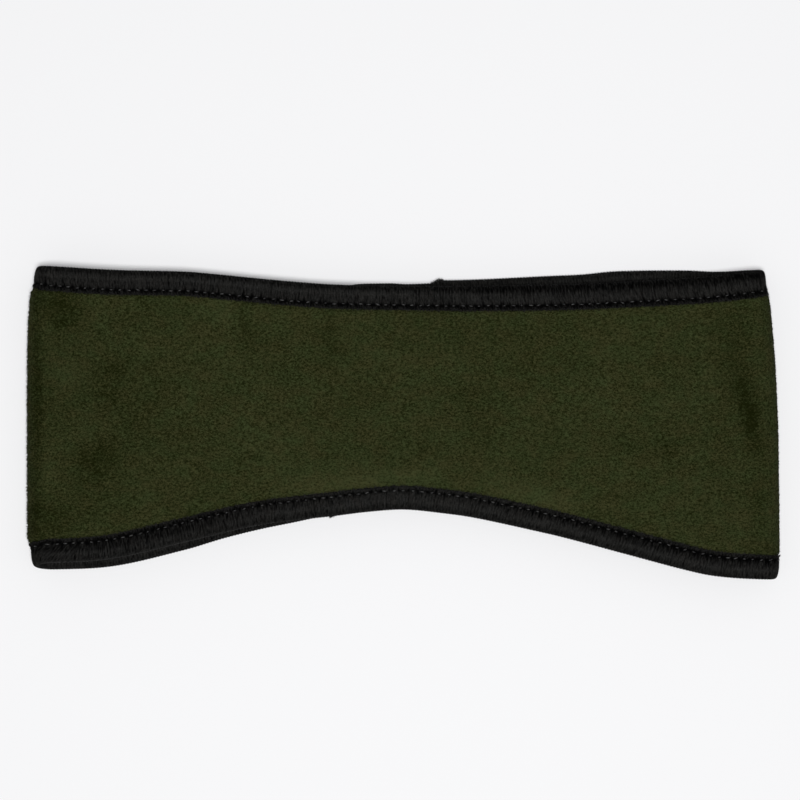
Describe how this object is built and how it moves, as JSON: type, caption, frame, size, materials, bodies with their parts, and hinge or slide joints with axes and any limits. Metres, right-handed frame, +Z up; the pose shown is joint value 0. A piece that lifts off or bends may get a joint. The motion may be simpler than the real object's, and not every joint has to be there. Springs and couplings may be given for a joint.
{
  "type": "ear warmer headband",
  "caption": "Ring of fleece, wide over the ears and narrow at the forehead, with a ribbed elastic tape folded over each edge, lying flat.",
  "frame": {"origin": "centre of the band's outline, on the plane that it lies on", "axes": "+X along the band from the left fold to the right fold, +Y towards the edge that sits on top when worn, +Z up from the surface through both layers"},
  "size_m": [0.2504, 0.1038, 0.0146],
  "materials": {
    "fleece": "olive green fleece with a short brushed nap",
    "binding_tape": "black cross-ribbed elastic tape, slightly glossy",
    "thread": "black twisted sewing thread, slightly glossy"
  },
  "bodies": {
    "root": {"fleece_band": "fleece", "top_binding": "binding_tape", "foot_binding": "binding_tape"}
  },
  "joints": []
}
